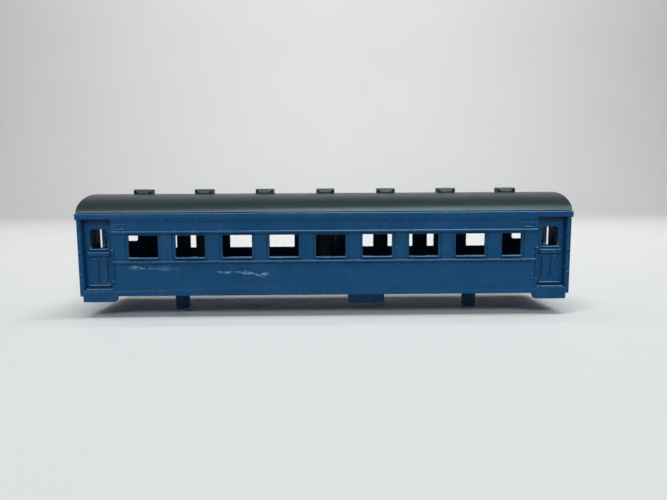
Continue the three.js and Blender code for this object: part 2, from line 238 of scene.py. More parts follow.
def carve(obj, steps):
    """Joins or cuts groups of solids in turn, then keeps the result as the object's own mesh."""
    tools = []
    for number, (operation, solids) in enumerate(steps):
        tool = merged(f"tool_{number}", solids)
        modifier = obj.modifiers.new(f"step_{number}", "BOOLEAN")
        modifier.operation = operation
        modifier.solver = "MANIFOLD"
        modifier.object = tool
        tools.append(tool)
    bpy.context.view_layer.update()
    evaluated = obj.evaluated_get(bpy.context.evaluated_depsgraph_get())
    mesh = bpy.data.meshes.new_from_object(evaluated)
    obj.modifiers.clear()
    obj.data = mesh
    for tool in tools:
        bpy.data.objects.remove(tool)
    clean(obj)
    return obj


def clean(obj):
    """Merges doubled points, drops needless edges in flat areas and shades smoothly between them."""
    bm = bmesh.new()
    bm.from_mesh(obj.data)
    bmesh.ops.remove_doubles(bm, verts=bm.verts, dist=0.002 * MM)
    bmesh.ops.dissolve_degenerate(bm, dist=0.002 * MM, edges=bm.edges)
    bmesh.ops.dissolve_limit(
        bm, angle_limit=math.radians(0.2), verts=bm.verts, edges=bm.edges, delimit={"NORMAL"}
    )
    bmesh.ops.recalc_face_normals(bm, faces=bm.faces)
    bm.to_mesh(obj.data)
    bm.free()
    shade(obj)


def shade(obj, angle=34):
    """Smooth shading, with sharp edges where faces meet at more than the angle in degrees."""
    mesh = obj.data
    mesh.shade_smooth()
    mesh.set_sharp_from_angle(angle=math.radians(angle))


UNION = "UNION"
CUT = "DIFFERENCE"


# Ranges

def down(top, bottom):
    """A height range from two distances below the eave, in millimetres."""
    return EAVE - bottom * MM, EAVE - top * MM


def about(centre, width):
    return centre - width / 2, centre + width / 2


def from_end(end, outer, inner):
    """A range of X from two distances inwards from an end, in millimetres. end is -1 or 1."""
    pair = (end * (HALF_LENGTH - outer * MM), end * (HALF_LENGTH - inner * MM))
    return min(pair), max(pair)


def front(proud):
    """Y of a surface that stands this many millimetres proud of the near side."""
    return -HALF_WIDTH - proud * MM


# Near side

WINDOW_COUNT = 9
WINDOW_PITCH = 15.45
WINDOW_WIDTH = 9.75
LAST_WIDTH_NEAR = 6.4
LAST_WIDTH_FAR = 6.9
WINDOW_TOP = 7.35
WINDOW_SILL = 14.6
FRAME_MARGIN = 0.9
FRAME_DEPTH = 0.3
SILL_HEIGHT = 0.62

# Strips along the side, from the gutter down
GUTTER = {"top": 0, "bottom": 2.05, "proud": 0.35, "edge": 0.28}
FRIEZE = {"top": 1.5, "bottom": 2.75, "proud": 0.2, "edge": 0.16}
HEADER = {"top": 5.7, "bottom": 6.9, "proud": 0.42, "edge": 0.4}
BELT = {"top": 15.6, "bottom": 16.7, "proud": 0.42, "edge": 0.4}

# The door recess and its leaf. LEVELS are a top and a bottom, in millimetres below the eave
DOOR_OUTER = 1.5
DOOR_INNER = 11.0
DOOR_DEPTH = 2.0
DOOR_CENTRE = 6.15
POCKET_DEPTH = 3.0
DOOR_WINDOW_WIDTH = 5.5
DOOR_WINDOW_LEVELS = (5.3, 11.7)
DOOR_LIP = {"width": 6.1, "top": 11.75, "bottom": 12.3, "proud": 0.35, "edge": 0.25}
DOOR_RAIL = {"width": 7.4, "top": 12.7, "bottom": 14.45, "proud": 0.5, "edge": 0.42}
DOOR_KICK = {"width": 7.1, "top": 23.7, "bottom": 24.6, "proud": 0.5, "edge": 0.4}
GROOVE_PAIR_SHIFT = 1.2
GROOVE_SPACING = 3.1
GROOVE_WIDTH = 0.4
GROOVE_DEPTH = 0.25
GROOVE_LEVELS = (15.7, 23.2)
DOOR_STUD_SPACING = 3.2
DOOR_STUD_WIDTH = 0.8
DOOR_STUD_LEVELS = (15.1, 15.7)
THRESHOLD_ENDS = (2.1, 11.1)
THRESHOLD_LEVELS = (24.9, 25.6)

# The step apron under a door: distances inwards from the end, and how far its corners are rounded
STEP_OUTER = 1.05
STEP_INNER_BOTTOM = 11.9
STEP_INNER_TOP = 12.4
STEP_TOP = 25.2
STEP_BOTTOM = 29.4
STEP_ROUNDING = (0.1, 0.5, 1.0, 0.25, 0.1)

GRAB_RAIL_OUTER = 11.15
GRAB_RAIL_WIDTH = 0.6
GRAB_RAIL_LEVELS = (12, 23)
GRAB_STUD_PLACES = (12.2, 22.6)
POST_STUD_PLACES = (12.6, 20.4)
HOOK_OUTER = 13
HOOK_WIDTH = 2.7
HOOK_BAR = 0.4
HOOK_BOTTOM_LEVELS = (5.0, 5.4)
HOOK_SIDE_LEVELS = (3.6, 5.1)
LUG_COUNT = 4
LUG_MARGIN = 12.2
LUG_WIDTH = 3


def band(half_length, top, bottom, proud, edge):
    """A moulded strip along the side, its front edges rounded."""
    return boss(
        (-half_length, half_length), down(top, bottom), front(proud), front(-0.6), edge * MM, 0.05 * MM
    )


def window_ranges(last_width):
    """Eight equal windows and a narrow one, whose width leaves its outer edge where it is."""
    row_end = ((WINDOW_COUNT - 1) * WINDOW_PITCH + LAST_WIDTH_NEAR) / 2
    for i in range(WINDOW_COUNT - 1):
        left = -row_end + i * WINDOW_PITCH
        yield left * MM, (left + WINDOW_WIDTH) * MM
    yield (row_end - last_width) * MM, row_end * MM


def window_frames(last_width):
    margin = FRAME_MARGIN * MM
    height = down(HEADER["bottom"] - 0.2, BELT["top"] + 0.2)
    return [
        pocket((a - margin, b + margin), height, front(0), front(-FRAME_DEPTH), 0.14 * MM, 0.12 * MM)
        for a, b in window_ranges(last_width)
    ]


def window_holes(last_width):
    height = down(WINDOW_TOP, WINDOW_SILL)
    return [
        pocket(span, height, front(-FRAME_DEPTH), front(-3), 0.1 * MM, 0.15 * MM)
        for span in window_ranges(last_width)
    ]


def window_sills(last_width):
    height = down(WINDOW_SILL, WINDOW_SILL + SILL_HEIGHT)
    return [
        boss(span, height, front(0.25), front(-0.9), 0.24 * MM, 0.1 * MM)
        for span in window_ranges(last_width)
    ]


def near_and_far(make):
    """Solids for the near side, and the far side's own turned half round."""
    return [*make(LAST_WIDTH_NEAR), *(turned(s) for s in make(LAST_WIDTH_FAR))]


def both_ends(make):
    return [make(end) for end in ENDS]


def door_pair(make):
    """What comes twice on each door leaf, once each side of its middle."""
    return [make(end, place) for end in ENDS for place in (-1, 1)]


def door_middle(end):
    return end * (HALF_LENGTH - DOOR_CENTRE * MM)


def door_pocket(end):
    """The block behind the door recess."""
    x = from_end(end, 0.6, DOOR_INNER + 1.2)
    return boss(x, down(0.3, 27), front(-0.6), front(-POCKET_DEPTH), 0.05 * MM, 0.05 * MM)


def door_recess(end):
    x = from_end(end, DOOR_OUTER, DOOR_INNER)
    height = down(GUTTER["bottom"], THRESHOLD_LEVELS[1])
    return pocket(x, height, front(0), front(-DOOR_DEPTH), 0.18 * MM, 0.08 * MM)


def door_bar(end, width, top, bottom, proud, edge):
    """A moulded bar on the door leaf."""
    x = about(door_middle(end), width * MM)
    face, back = front(proud - DOOR_DEPTH), front(-DOOR_DEPTH - 0.5)
    return boss(x, down(top, bottom), face, back, edge * MM, 0.12 * MM)


def door_hole(end):
    x = about(door_middle(end), DOOR_WINDOW_WIDTH * MM)
    return pocket(x, down(*DOOR_WINDOW_LEVELS), front(-DOOR_DEPTH), front(-5), 0.2 * MM, 0.75 * MM)


def door_groove(end, place):
    middle = door_middle(end) - end * GROOVE_PAIR_SHIFT * MM
    x = about(middle + place * GROOVE_SPACING / 2 * MM, GROOVE_WIDTH * MM)
    face, back = front(-DOOR_DEPTH), front(-DOOR_DEPTH - GROOVE_DEPTH)
    return pocket(x, down(*GROOVE_LEVELS), face, back, 0.08 * MM, 0.1 * MM)


def door_stud(end, place):
    x = about(door_middle(end) + place * DOOR_STUD_SPACING / 2 * MM, DOOR_STUD_WIDTH * MM)
    face, back = front(0.3 - DOOR_DEPTH), front(-DOOR_DEPTH - 0.3)
    return boss(x, down(*DOOR_STUD_LEVELS), face, back, 0.25 * MM, 0.25 * MM)


def threshold(end):
    x = from_end(end, *THRESHOLD_ENDS)
    return boss(x, down(*THRESHOLD_LEVELS), front(0.3), front(-2.6), 0.3 * MM, 0.1 * MM)


def step(end):
    """The step apron under a door, its lower inner corner cut away."""
    bottom, top = down(STEP_TOP, STEP_BOTTOM)
    corners = (
        (STEP_OUTER, top),
        (STEP_OUTER, bottom),
        (STEP_INNER_BOTTOM, bottom),
        (STEP_INNER_TOP, SOLE),
        (STEP_INNER_TOP, top),
    )
    outline = [Vector((end * (HALF_LENGTH - inward * MM), z)) for inward, z in corners]
    outline = round_corners(outline, STEP_ROUNDING)
    middle = sum(outline, Vector((0, 0))) / len(outline)
    rings = []
    for inset, back in reversed(list(edge_profile(0.2 * MM))):
        ring = [shrunk(p, middle, inset) for p in outline]
        rings.append([(p.x, front(0) + back, p.y) for p in ring])
    rings.append([(p.x, front(-1.2), p.y) for p in outline])
    return loft(rings)


def shrunk(point, middle, inset):
    """The point moved towards the middle by the inset along each axis."""
    offset = point - middle
    limit_x = math.copysign(min(abs(offset.x), inset), offset.x)
    limit_y = math.copysign(min(abs(offset.y), inset), offset.y)
    return point - Vector((limit_x, limit_y))


def round_corners(outline, radii):
    """The outline with each corner replaced by a short curve. Radii are in millimetres."""
    points = []
    count = len(outline)
    for i, corner in enumerate(outline):
        reach = radii[i] * MM
        start = corner + (outline[i - 1] - corner).normalized() * reach
        end = corner + (outline[(i + 1) % count] - corner).normalized() * reach
        for part in range(CORNER_STEPS):
            t = part / (CORNER_STEPS - 1)
            points.append(start * (1 - t) ** 2 + corner * 2 * t * (1 - t) + end * t * t)
    return points


def grab_rail(end):
    x = from_end(end, GRAB_RAIL_OUTER, GRAB_RAIL_OUTER + GRAB_RAIL_WIDTH)
    return boss(x, down(*GRAB_RAIL_LEVELS), front(0.45), front(-0.5), 0.3 * MM, 0.3 * MM)


def grab_stud(end, level):
    x = about(end * (HALF_LENGTH - (GRAB_RAIL_OUTER + GRAB_RAIL_WIDTH / 2) * MM), 1.0 * MM)
    face = -HALF_WIDTH - GRAB_STUD_PROUD
    return boss(x, down(level - 0.45, level + 0.45), face, front(-0.5), 0.3 * MM, 0.4 * MM)


def post_stud(end, level):
    x = from_end(end, 0.3, 1.1)
    return boss(x, down(level - 0.3, level + 0.3), front(0.3), front(-0.5), 0.2 * MM, 0.2 * MM)


def board_hook(end):
    """The three bars of a destination-board hook."""
    x = from_end(end, HOOK_OUTER, HOOK_OUTER + HOOK_WIDTH)
    bottom = boss(x, down(*HOOK_BOTTOM_LEVELS), front(0.3), front(-0.5), 0.14 * MM, 0.1 * MM)
    sides = []
    for outer in (HOOK_OUTER, HOOK_OUTER + HOOK_WIDTH - HOOK_BAR):
        x = from_end(end, outer, outer + HOOK_BAR)
        sides.append(boss(x, down(*HOOK_SIDE_LEVELS), front(0.22), front(-0.5), 0.14 * MM, 0.1 * MM))
    return bottom, sides


def lug(place):
    """A lug inside the wall that bears on the floor's upper face."""
    spacing = 2 * (HALF_LENGTH - LUG_MARGIN * MM) / LUG_COUNT
    x = about((place - (LUG_COUNT - 1) / 2) * spacing, LUG_WIDTH * MM)
    return boss(x, (FLOOR_TOP, FLOOR_TOP + 1.6 * MM), front(-0.6), front(-2.1), 0.05 * MM, 0.05 * MM)


def side_steps():
    """What is joined to and cut from the walls, in order, for both sides."""
    inner = (HALF_LENGTH / MM - DOOR_INNER - 0.2) * MM
    hooks = both_ends(board_hook)
    return [
        (UNION, both_sides(both_ends(door_pocket))),
        (UNION, both_sides([band(inner, **FRIEZE)])),
        (UNION, both_sides([band(HALF_LENGTH + GUTTER_PROUD, **GUTTER)])),
        (UNION, both_sides([band(inner, **HEADER)])),
        (UNION, both_sides([band(inner, **BELT)])),
        (CUT, near_and_far(window_frames)),
        (CUT, near_and_far(window_holes)),
        (UNION, near_and_far(window_sills)),
        (UNION, both_sides(both_ends(step))),
        (CUT, both_sides(both_ends(door_recess))),
        (CUT, both_sides(both_ends(door_hole))),
        (CUT, both_sides(door_pair(door_groove))),
        (UNION, both_sides(door_pair(door_stud))),
        (UNION, both_sides([door_bar(end, **DOOR_LIP) for end in ENDS])),
        (UNION, both_sides([door_bar(end, **DOOR_RAIL) for end in ENDS])),
        (UNION, both_sides([door_bar(end, **DOOR_KICK) for end in ENDS])),
        (UNION, both_sides(both_ends(threshold))),
        (UNION, both_sides(both_ends(grab_rail))),
        (UNION, both_sides([grab_stud(end, level) for end in ENDS for level in GRAB_STUD_PLACES])),
        (UNION, both_sides([post_stud(end, level) for end in ENDS for level in POST_STUD_PLACES])),
        (UNION, both_sides([hook[0] for hook in hooks])),
        (UNION, both_sides([bar for hook in hooks for bar in hook[1]])),
        (UNION, both_sides([lug(i) for i in range(LUG_COUNT)])),
    ]


# Ends: made facing -Y at the end's distance, then swung to face along X

GANGWAY_HALF = 4.8
GANGWAY_TOP = 3.2
GANGWAY_RECESS = 0.2
GANGWAY_LEAF_BACK = 1.3
GANGWAY_FRAME = {"half": 5.8, "top": 2.2, "proud": 0.35}
GANGWAY_WINDOW_WIDTH = 3.6
GANGWAY_WINDOW_LEVELS = (5.6, 12.9)
GANGWAY_RAIL_LEVELS = (14.4, 15.4)
GANGWAY_KICK_LEVELS = (24.4, 25.2)
GANGWAY_HANDLE_WIDTH = (3.2 * MM, 3.8 * MM)
GANGWAY_HANDLE_LEVELS = (17.6, 19.4)


def end_front(proud):
    return -HALF_LENGTH - proud * MM


def end_boss(x, z, proud, depth, edge, corner):
    return boss(x, z, end_front(proud), end_front(-depth), edge * MM, corner * MM)


def both_end_walls(solids):
    return [*(swung(s, 90) for s in solids), *(swung(s, -90) for s in solids)]


def end_steps():
    """What is joined to and cut from the end walls, in order."""
    frame_half, door_half = GANGWAY_FRAME["half"] * MM, GANGWAY_HALF * MM
    across = (-door_half, door_half)
    leaf_across = (-door_half - MM, door_half + MM)
    leaf = end_boss(leaf_across, down(1, SOLE_DOWN), -GANGWAY_RECESS, GANGWAY_LEAF_BACK, 0.02, 0.02)
    window = about(0, GANGWAY_WINDOW_WIDTH * MM)
    face = end_front(-GANGWAY_RECESS)
    window_height = down(*GANGWAY_WINDOW_LEVELS)
    hole = pocket(window, window_height, face, end_front(-4), 0.2 * MM, 0.7 * MM)
    frame_face = end_front(GANGWAY_FRAME["proud"])
    recess = pocket(across, down(GANGWAY_TOP, SOLE_DOWN + 1), frame_face, face, 0.2 * MM, 0.3 * MM)
    frame_height = down(GANGWAY_FRAME["top"], SOLE_DOWN)
    frame_across = (-frame_half, frame_half)
    frame_solid = end_boss(frame_across, frame_height, GANGWAY_FRAME["proud"], 0.6, 0.22, 0.5)
    wall = (-HALF_WIDTH, HALF_WIDTH)
    gutter_height = down(GUTTER["top"], GUTTER["bottom"])
    gutter = end_boss(wall, gutter_height, GUTTER["proud"], 0.6, GUTTER["edge"], 0.05)
    rail = end_boss(across, down(*GANGWAY_RAIL_LEVELS), 0.1, 1.1, 0.22, 0.05)
    kick = end_boss(across, down(*GANGWAY_KICK_LEVELS), 0.05, 1.1, 0.2, 0.05)
    handle_height = down(*GANGWAY_HANDLE_LEVELS)
    handle = end_boss(GANGWAY_HANDLE_WIDTH, handle_height, 0.15, 1.0, 0.25, 0.25)
    return [
        (UNION, both_end_walls([gutter])),
        (UNION, both_end_walls([frame_solid])),
        (CUT, both_end_walls([recess])),
        (UNION, both_end_walls([leaf])),
        (CUT, both_end_walls([hole])),
        (UNION, both_end_walls([rail, kick, handle])),
    ]


def coach_body():
    """The blue shell, both sides and both ends in one moulding."""
    box = (-HALF_LENGTH, HALF_LENGTH), (-HALF_WIDTH, HALF_WIDTH)
    body = merged("coach_body", [slab(*box, (SOLE, EAVE), 0.22 * MM, 0.35 * MM)])
    inner = (-HALF_LENGTH + WALL, HALF_LENGTH - WALL), (-HALF_WIDTH + WALL, HALF_WIDTH - WALL)
    cavity = slab(*inner, (SOLE - 2 * MM, EAVE + 2 * MM), 0.01 * MM, 0.1 * MM)
    carve(body, [(CUT, [cavity]), *side_steps(), *end_steps()])
    return body


# Roof

ROOF_SKIN = 1.2 * MM
ROOF_FULLNESS = 1.07
ROOF_SEGMENTS = 96
ROOF_FOOT_DEPTH = 0.35 * MM
ROOF_FOOT_HEIGHT = 0.25 * MM
RIB_HALF_LENGTH = 66 * MM
RIB_THICKNESS = 0.9 * MM
POST_RADIUS = 3.75 * MM
BORE_RADIUS = 1.2 * MM
BORE_LENGTH = 9 * MM
VENT_HOLE_RADIUS = 0.9 * MM
VENT_HOLE_DEPTH = 1.3 * MM


def section(half_width, rise, base):
    """Points round the barrel's section, from one eave to the other."""
    points = []
    for i in range(ROOF_SEGMENTS + 1):
        angle = math.pi * i / ROOF_SEGMENTS
        points.append((half_width * math.cos(angle), base + rise * math.sin(angle) ** ROOF_FULLNESS))
    return points


def set_in(outline, base):
    """The section with its foot set in, which leaves a dark line over the gutter."""
    foot = outline[0][0] - ROOF_FOOT_DEPTH
    level = base + ROOF_FOOT_HEIGHT
    upper = [point for point in outline if point[1] > level + 0.02 * MM]
    right = [(foot, base), (foot, level), (outline[0][0] - 0.01 * MM, level)]
    return [*right, *upper, *((-y, z) for y, z in reversed(right))]


def barrel(half_length, half_width, rise, base, edge, foot=False):
    """A barrel vault whose end edges are rounded."""
    stations = [(-half_length + back, inset) for inset, back in reversed(list(edge_profile(edge)))]
    rings = [(x, inset) for x, inset in stations]
    rings += [(-x, inset) for x, inset in reversed(stations)]
    solid = []
    for x, inset in rings:
        outline = section(half_width - inset, rise - inset, base)
        if foot:
            outline = set_in(outline, base)
        solid.append([(x, y, z) for y, z in outline])
    return loft(solid)


def places_along(prefix):
    """The X of each node whose name starts this way, by name."""
    names = sorted(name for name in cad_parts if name.startswith(prefix))
    return {name: (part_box(name)[0].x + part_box(name)[1].x) / 2 for name in names}


VENTS = places_along("ventilator_")
SCREWS = places_along("screw_")


def coach_roof():
    """The dark roof with its locating ribs, its screw posts and the ventilators' holes."""
    half_length = ROOF_HIGH.x
    half_width = ROOF_HIGH.y
    rise = CREST - EAVE
    roof = merged("coach_roof", [barrel(half_length, half_width, rise, EAVE, 0.25 * MM, foot=True)])
    inner = (half_length - ROOF_SKIN, half_width - ROOF_SKIN, rise - ROOF_SKIN)
    inside = barrel(*inner, EAVE - 0.4 * MM, 0.01 * MM)
    rib_outer = HALF_WIDTH - WALL - 0.3 * MM
    ribs = []
    for side in (-1, 1):
        across = sorted((side * rib_outer, side * (rib_outer - RIB_THICKNESS)))
        height = (EAVE - 1.8 * MM, EAVE + 1.5 * MM)
        ribs.append(slab((-RIB_HALF_LENGTH, RIB_HALF_LENGTH), across, height, 0.1 * MM, 0.1 * MM))
    post_top = CREST - ROOF_SKIN * 0.7
    posts = upright_pegs(SCREWS.values(), POST_RADIUS, FLOOR_TOP, post_top, 0.1)
    bores = upright_pegs(SCREWS.values(), BORE_RADIUS, FLOOR_TOP - MM, FLOOR_TOP + BORE_LENGTH, 0.05)
    holes = upright_pegs(VENTS.values(), VENT_HOLE_RADIUS, CREST - VENT_HOLE_DEPTH, CREST + MM, 0.05)
    return carve(roof, [(CUT, [inside]), (UNION, ribs), (UNION, posts), (CUT, bores), (CUT, holes)])


# Ventilators

VENT_BASE = 0.35 * MM
VENT_PLATE = 0.45 * MM
VENT_CAP = 0.3 * MM
VENT_CAP_HALF = 1.2 * MM
VENT_WEDGE_FOOT = 1.3 * MM
VENT_WEB_HALF = 0.3 * MM
VENT_STEM_RADIUS = 0.6 * MM


def ventilator(name, node):
    """A hooded ventilator: end plates and a flat cap over a wedge that spreads to the sides."""
    low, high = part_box(node)
    x = VENTS[node]
    half = (high.x - low.x) / 2
    depth = high.y
    base, top = CREST, high.z
    along = (x - half, x + half)
    body = merged(name, [slab(along, (-depth, depth), (base, base + VENT_BASE), 0.08 * MM, 0.25 * MM)])
    plates = []
    for side in (-1, 1):
        span = sorted((x + side * half, x + side * (half - VENT_PLATE)))
        plates.append(end_plate(span, depth, base, top))
    cap = slab(along, (-VENT_CAP_HALF, VENT_CAP_HALF), (top - VENT_CAP, top), 0.08 * MM, 0.1 * MM)
    inner = (along[0] + 0.1 * MM, along[1] - 0.1 * MM)
    web = slab(inner, (-VENT_WEB_HALF, VENT_WEB_HALF), (base, top - 0.1 * MM), 0.02 * MM, 0.02 * MM)
    stem = peg(x, 0, VENT_STEM_RADIUS, low.z, base + 0.2 * MM, 0.1 * MM)
    wedge = vent_wedge(x, half - 0.1 * MM, depth, base, top)
    return carve(body, [(UNION, solids) for solids in (plates, [web], [wedge], [cap], [stem])])


def vent_wedge(x, half, depth, base, top):
    """The wedge under the cap, short and deep at its foot, long and shallow at its top."""
    foot = (base + 0.1 * MM, VENT_WEDGE_FOOT, depth)
    head = (top - 0.05 * MM, half, VENT_CAP_HALF)
    rings = []
    for level, half_x, half_y in (foot, head):
        outline = rounded_rectangle((x - half_x, -half_y), (x + half_x, half_y), 0.12 * MM)
        rings.append([(u, v, level) for u, v in outline])
    return loft(rings)


def end_plate(x, depth, base, top):
    """An upright plate across the coach with round upper corners."""
    outline = rounded_rectangle((-depth, base - 2 * MM), (depth, top), 0.55 * MM)
    outline = [(v, max(w, base)) for v, w in outline]
    profile = list(edge_profile(0.08 * MM))
    stations = [(x[0] + back, inset) for inset, back in reversed(profile)]
    stations += [(x[1] - back, inset) for inset, back in profile]
    rings = []
    for station, inset in stations:
        rings.append([(station, pull(v, inset), w - (inset if w > base else 0)) for v, w in outline])
    return loft(rings)


def pull(value, inset):
    """The value brought towards 0 by the inset."""
    return math.copysign(max(abs(value) - inset, 0), value)


# Floor

PIVOT_RADIUS = 2.5 * MM
PIVOT_PLACES = (-52.3 * MM, 52.3 * MM)
PIVOT_HOLE_RADIUS = 1.1 * MM
PIVOT_HOLE_DEPTH = 7 * MM
COLLAR_RADIUS = PIVOT_RADIUS + 1.2 * MM
SCREW_HOLE_RADIUS = 1.2 * MM
SINK_RADIUS = 2.6 * MM
SINK_DEPTH = 1.1 * MM


def coach_floor():
    """The floor plate with its two bogie pivots, the equipment box and the screw holes."""
    bottom = SOLE + 0.4 * MM
    between = HALF_LENGTH - 12.5 * MM
    height = (bottom, FLOOR_TOP)
    wide = slab((-between, between), (FLOOR_LOW.y, FLOOR_HIGH.y), height, 0.1 * MM, 0.2 * MM)
    narrow = HALF_WIDTH - POCKET_DEPTH * MM - 0.3 * MM
    full = slab((FLOOR_LOW.x, FLOOR_HIGH.x), (-narrow, narrow), height, 0.1 * MM, 0.2 * MM)
    foot, root = FLOOR_LOW.z, bottom + 0.5 * MM
    pivots = upright_pegs(PIVOT_PLACES, PIVOT_RADIUS, foot, root, 0.25)
    collars = upright_pegs(PIVOT_PLACES, COLLAR_RADIUS, bottom - 0.3 * MM, root, 0.15)
    holes = upright_pegs(PIVOT_PLACES, PIVOT_HOLE_RADIUS, foot - MM, foot + PIVOT_HOLE_DEPTH, 0.05)
    screws = SCREWS.values()
    screw_holes = upright_pegs(screws, SCREW_HOLE_RADIUS, bottom - MM, FLOOR_TOP + MM, 0.05)
    sinks = upright_pegs(screws, SINK_RADIUS, bottom - MM, bottom + SINK_DEPTH, 0.05)
    return carve(merged("coach_floor", [wide]), [
        (UNION, [full]),
        (UNION, [box_shell()]),
        (UNION, [box_lip()]),
        (CUT, [box_hollow()]),
        (UNION, box_ribs()),
        (UNION, collars),
        (UNION, pivots),
        (CUT, holes),
        (CUT, screw_holes),
        (CUT, sinks),
    ])


# The equipment box
BOX_X = (7.8 * MM, 20.4 * MM)
BOX_Y = (-8.3 * MM, -2.3 * MM)
BOX_BOTTOM = EAVE - 32.2 * MM
BOX_WALL = 0.9 * MM
BOX_LIP_PROUD = 0.3 * MM
BOX_RIB_WIDTH = 0.35 * MM


def box_shell():
    return slab(BOX_X, BOX_Y, (BOX_BOTTOM, SOLE + 0.9 * MM), 0.12 * MM, 0.2 * MM)


def box_lip():
    x = (BOX_X[0] - BOX_LIP_PROUD, BOX_X[1] + BOX_LIP_PROUD)
    y = (BOX_Y[0] - BOX_LIP_PROUD, BOX_Y[1] + BOX_LIP_PROUD)
    return slab(x, y, (BOX_BOTTOM, BOX_BOTTOM + 0.5 * MM), 0.2 * MM, 0.3 * MM)


def box_hollow():
    x = (BOX_X[0] + BOX_WALL, BOX_X[1] - BOX_WALL)
    y = (BOX_Y[0] + BOX_WALL, BOX_Y[1] - BOX_WALL)
    return slab(x, y, (BOX_BOTTOM - MM, SOLE + 0.4 * MM), 0.05 * MM, 0.2 * MM)


def box_ribs():
    """Shallow upright ribs on the box's front."""
    height = (BOX_BOTTOM + 0.6 * MM, SOLE)
    face, back = BOX_Y[0] - 0.15 * MM, BOX_Y[0] + 0.3 * MM
    ribs = []
    for place in (0.25, 0.5, 0.75):
        x = about(BOX_X[0] + place * (BOX_X[1] - BOX_X[0]), BOX_RIB_WIDTH)
        ribs.append(boss(x, height, face, back, 0.1 * MM, 0.05 * MM))
    return ribs


# Screws

SCREW_HEAD = 1.3 * MM
THREAD_CORE = 0.62 * MM
THREAD_CREST = 0.95 * MM
THREAD_PITCH = 0.7 * MM
CROSS_HALF_LENGTH = 1.2 * MM
CROSS_HALF_WIDTH = 0.3 * MM
CROSS_DEPTH = 0.7 * MM


def screw(name, node):
    """A pan-head screw with a cross recess and a thread, point up."""
    low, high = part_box(node)
    x = SCREWS[node]
    radius = (high.x - low.x) / 2
    seat = low.z + SCREW_HEAD
    profile = [(0.5 * radius, low.z), (0.8 * radius, low.z + 0.12 * MM)]
    profile += [(0.96 * radius, low.z + 0.4 * MM), (radius, low.z + 0.7 * MM)]
    profile += [(radius, seat), (THREAD_CORE, seat)]
    level = seat + 0.4 * MM
    while level < high.z - 1.4 * MM:
        profile.append((THREAD_CORE, level))
        profile.append((THREAD_CREST, level + 0.25 * THREAD_PITCH))
        profile.append((THREAD_CORE, level + 0.5 * THREAD_PITCH))
        level += THREAD_PITCH
    profile += [(THREAD_CORE, level), (0.1 * MM, high.z)]
    body = merged(name, [lathe(x, 0, profile)])
    height = (low.z - MM, low.z + CROSS_DEPTH)
    arms = ((CROSS_HALF_LENGTH, CROSS_HALF_WIDTH), (CROSS_HALF_WIDTH, CROSS_HALF_LENGTH))
    cuts = [slab((x - u, x + u), (-v, v), height, 0.05 * MM, 0.1 * MM) for u, v in arms]
    return carve(body, [(CUT, [cut]) for cut in cuts])


# Materials

class Shader:
    """A material's node tree, built by name."""

    def __init__(self, name):
        self.material = bpy.data.materials.new(name)
        self.material.use_nodes = True
        self.tree = self.material.node_tree
        self.surface = self.tree.nodes["Principled BSDF"]

    def node(self, kind, **inputs):
        made = self.tree.nodes.new(kind)
        for key, value in inputs.items():
            self.feed(made, key.replace("_", " "), value)
        return made

    def feed(self, node, socket, value):
        if isinstance(value, bpy.types.NodeSocket):
            self.tree.links.new(value, node.inputs[socket])
        else:
            node.inputs[socket].default_value = value

    def place(self):
        return self.node("ShaderNodeTexCoord").outputs["Object"]

    def noise(self, vector, scale, detail=4.0, roughness=0.55):
        made = self.node("ShaderNodeTexNoise", Vector=vector, Scale=scale)
        made.inputs["Detail"].default_value = detail
        made.inputs["Roughness"].default_value = roughness
        return made.outputs["Fac"]

    def stretch(self, vector, scale):
        made = self.node("ShaderNodeMapping", Vector=vector)
        made.inputs["Scale"].default_value = scale
        return made.outputs["Vector"]

    def ramp(self, value, low, high, out_low=0.0, out_high=1.0):
        made = self.node("ShaderNodeMapRange")
        self.feed(made, "Value", value)
        self.feed(made, "From Min", low)
        self.feed(made, "From Max", high)
        self.feed(made, "To Min", out_low)
        self.feed(made, "To Max", out_high)
        return made.outputs["Result"]

    def math(self, operation, a, b=0.0):
        made = self.tree.nodes.new("ShaderNodeMath")
        made.operation = operation
        for i, value in enumerate((a, b)):
            if isinstance(value, bpy.types.NodeSocket):
                self.tree.links.new(value, made.inputs[i])
            else:
                made.inputs[i].default_value = value
        return made.outputs[0]

    def mix(self, factor, a, b):
        made = self.tree.nodes.new("ShaderNodeMix")
        made.data_type = "RGBA"
        for index, value in ((0, factor), (6, a), (7, b)):
            if isinstance(value, bpy.types.NodeSocket):
                self.tree.links.new(value, made.inputs[index])
            else:
                made.inputs[index].default_value = value
        return made.outputs[2]

    def closeness(self, distance, inside=False):
        """Near 1 in hollow corners, or on outer edges if inside is set, and 0 in the open."""
        made = self.node("ShaderNodeAmbientOcclusion", Distance=distance)
        made.samples = 12
        made.inside = inside
        made.only_local = inside
        return self.math("SUBTRACT", 1.0, made.outputs["AO"])

    def shelter(self, distance):
        """Near 1 close under a ledge, and 0 where nothing stands out above."""
        normal = self.node("ShaderNodeNewGeometry").outputs["Normal"]
        lean = self.tree.nodes.new("ShaderNodeVectorMath")
        lean.operation = "ADD"
        self.tree.links.new(normal, lean.inputs[0])
        lean.inputs[1].default_value = (0, 0, 1)
        upwards = self.tree.nodes.new("ShaderNodeVectorMath")
        upwards.operation = "NORMALIZE"
        self.tree.links.new(lean.outputs[0], upwards.inputs[0])
        made = self.node("ShaderNodeAmbientOcclusion", Distance=distance, Normal=upwards.outputs[0])
        made.samples = 12
        return self.math("SUBTRACT", 1.0, made.outputs["AO"])

    def facing_up(self):
        normal = self.node("ShaderNodeNewGeometry").outputs["Normal"]
        return self.node("ShaderNodeSeparateXYZ", Vector=normal).outputs["Z"]

    def bump(self, height, strength, distance):
        made = self.node("ShaderNodeBump", Strength=strength, Distance=distance)
        self.feed(made, "Height", height)
        return made.outputs["Normal"]


